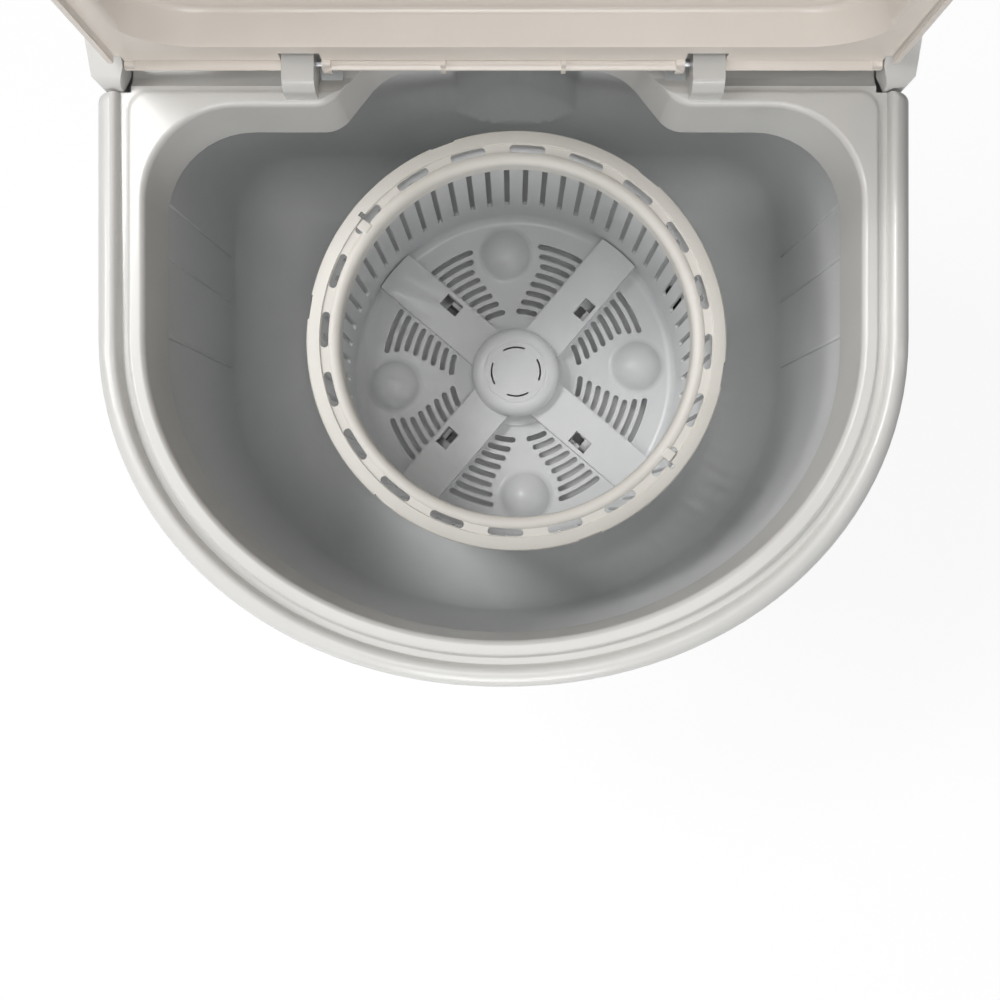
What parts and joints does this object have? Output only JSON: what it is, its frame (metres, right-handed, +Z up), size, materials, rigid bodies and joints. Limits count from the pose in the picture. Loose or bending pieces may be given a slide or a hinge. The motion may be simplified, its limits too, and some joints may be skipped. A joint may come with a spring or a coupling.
{
  "type": "mini washing machine",
  "caption": "Small top-loading washing machine with a rounded front, hinged lid, rear console and a slotted spin basket standing on a belt-driven pulsator.",
  "frame": {"origin": "on the floor, in the middle of the machine's bounding box", "axes": "+Z up, +X to the user's right, -Y towards the rounded front, +Y towards the console at the back"},
  "size_m": [0.37, 0.358, 0.777],
  "materials": {
    "white_plastic": "satin",
    "lid_plastic": "satin",
    "ring_plastic": "satin",
    "grey_plastic": "matte",
    "pale_plastic": "matte",
    "panel_grey": "satin",
    "knob_plastic": "satin",
    "dark_plastic": "matte",
    "rubber": "matte",
    "zinc_steel": "satin",
    "stainless": "polished",
    "bearing_steel": "polished",
    "cast_aluminium": "cast",
    "motor_paint": "satin"
  },
  "bodies": {
    "cabinet": {"outer_case": "white_plastic", "base_pan": "grey_plastic", "rubber_feet": "rubber", "rear_cover": "white_plastic", "cover_screws": "zinc_steel", "carry_grips": "grey_plastic", "wash_tub": "grey_plastic", "top_frame": "white_plastic", "rear_console": "white_plastic", "control_panel": "panel_grey", "wash_timer": "dark_plastic", "mode_switch": "dark_plastic", "shaft_seal": "rubber", "upper_bearing": "bearing_steel", "lower_bearing": "bearing_steel", "bearing_housing": "cast_aluminium", "housing_bolts": "zinc_steel", "drive_belt": "rubber", "motor": "motor_paint", "motor_bracket": "zinc_steel", "motor_mounts": "rubber", "motor_bolts": "zinc_steel", "capacitor": "white_plastic", "capacitor_clip": "zinc_steel", "drain_pipe": "grey_plastic", "water_inlet": "grey_plastic", "cord_gland": "dark_plastic"},
    "lid": {"lid": "lid_plastic", "hinge_pins": "zinc_steel"},
    "pulsator": {"pulsator": "pale_plastic", "pulsator_screw": "stainless", "drive_shaft": "stainless", "driven_pulley": "dark_plastic", "pulley_nut": "zinc_steel"},
    "spin_basket": {"spin_basket": "pale_plastic", "basket_base": "pale_plastic", "basket_ring": "ring_plastic", "basket_hub_cap": "pale_plastic"},
    "motor_rotor": {"motor_shaft": "bearing_steel", "motor_pulley": "cast_aluminium"},
    "wash_timer_knob": {"wash_timer_knob": "knob_plastic", "timer_spindle": "zinc_steel"},
    "mode_knob": {"mode_knob": "knob_plastic", "mode_spindle": "zinc_steel"}
  },
  "joints": [
    {"name": "lid_hinge", "type": "hinge", "parent": "cabinet", "child": "lid", "pos_m": [0, 0.104, 0.504], "axis": [1, 0, 0], "range_deg": [0, 90]},
    {"name": "pulsator_spin", "type": "hinge", "parent": "cabinet", "child": "pulsator", "pos_m": [0.006, -0.016, 0.2], "axis": [0, 0, 1], "continuous": true},
    {"name": "motor_spin", "type": "hinge", "parent": "cabinet", "child": "motor_rotor", "pos_m": [0.006, 0.092, 0.15], "axis": [0, 0, 1], "continuous": true},
    {"name": "basket_lift", "type": "slide", "parent": "pulsator", "child": "spin_basket", "axis": [0, 0, 1], "range_m": [0, 0.03]},
    {"name": "timer_turn", "type": "hinge", "parent": "cabinet", "child": "wash_timer_knob", "pos_m": [-0.078, 0.14775, 0.5371], "axis": [0, -0.309, 0.9511], "range_deg": [-300, 0]},
    {"name": "mode_turn", "type": "hinge", "parent": "cabinet", "child": "mode_knob", "pos_m": [0.078, 0.14775, 0.5371], "axis": [0, -0.309, 0.9511], "range_deg": [-60, 60]}
  ],
  "couplings": [
    {"joint": "motor_spin", "follows": "pulsator_spin", "ratio": 3}
  ]
}
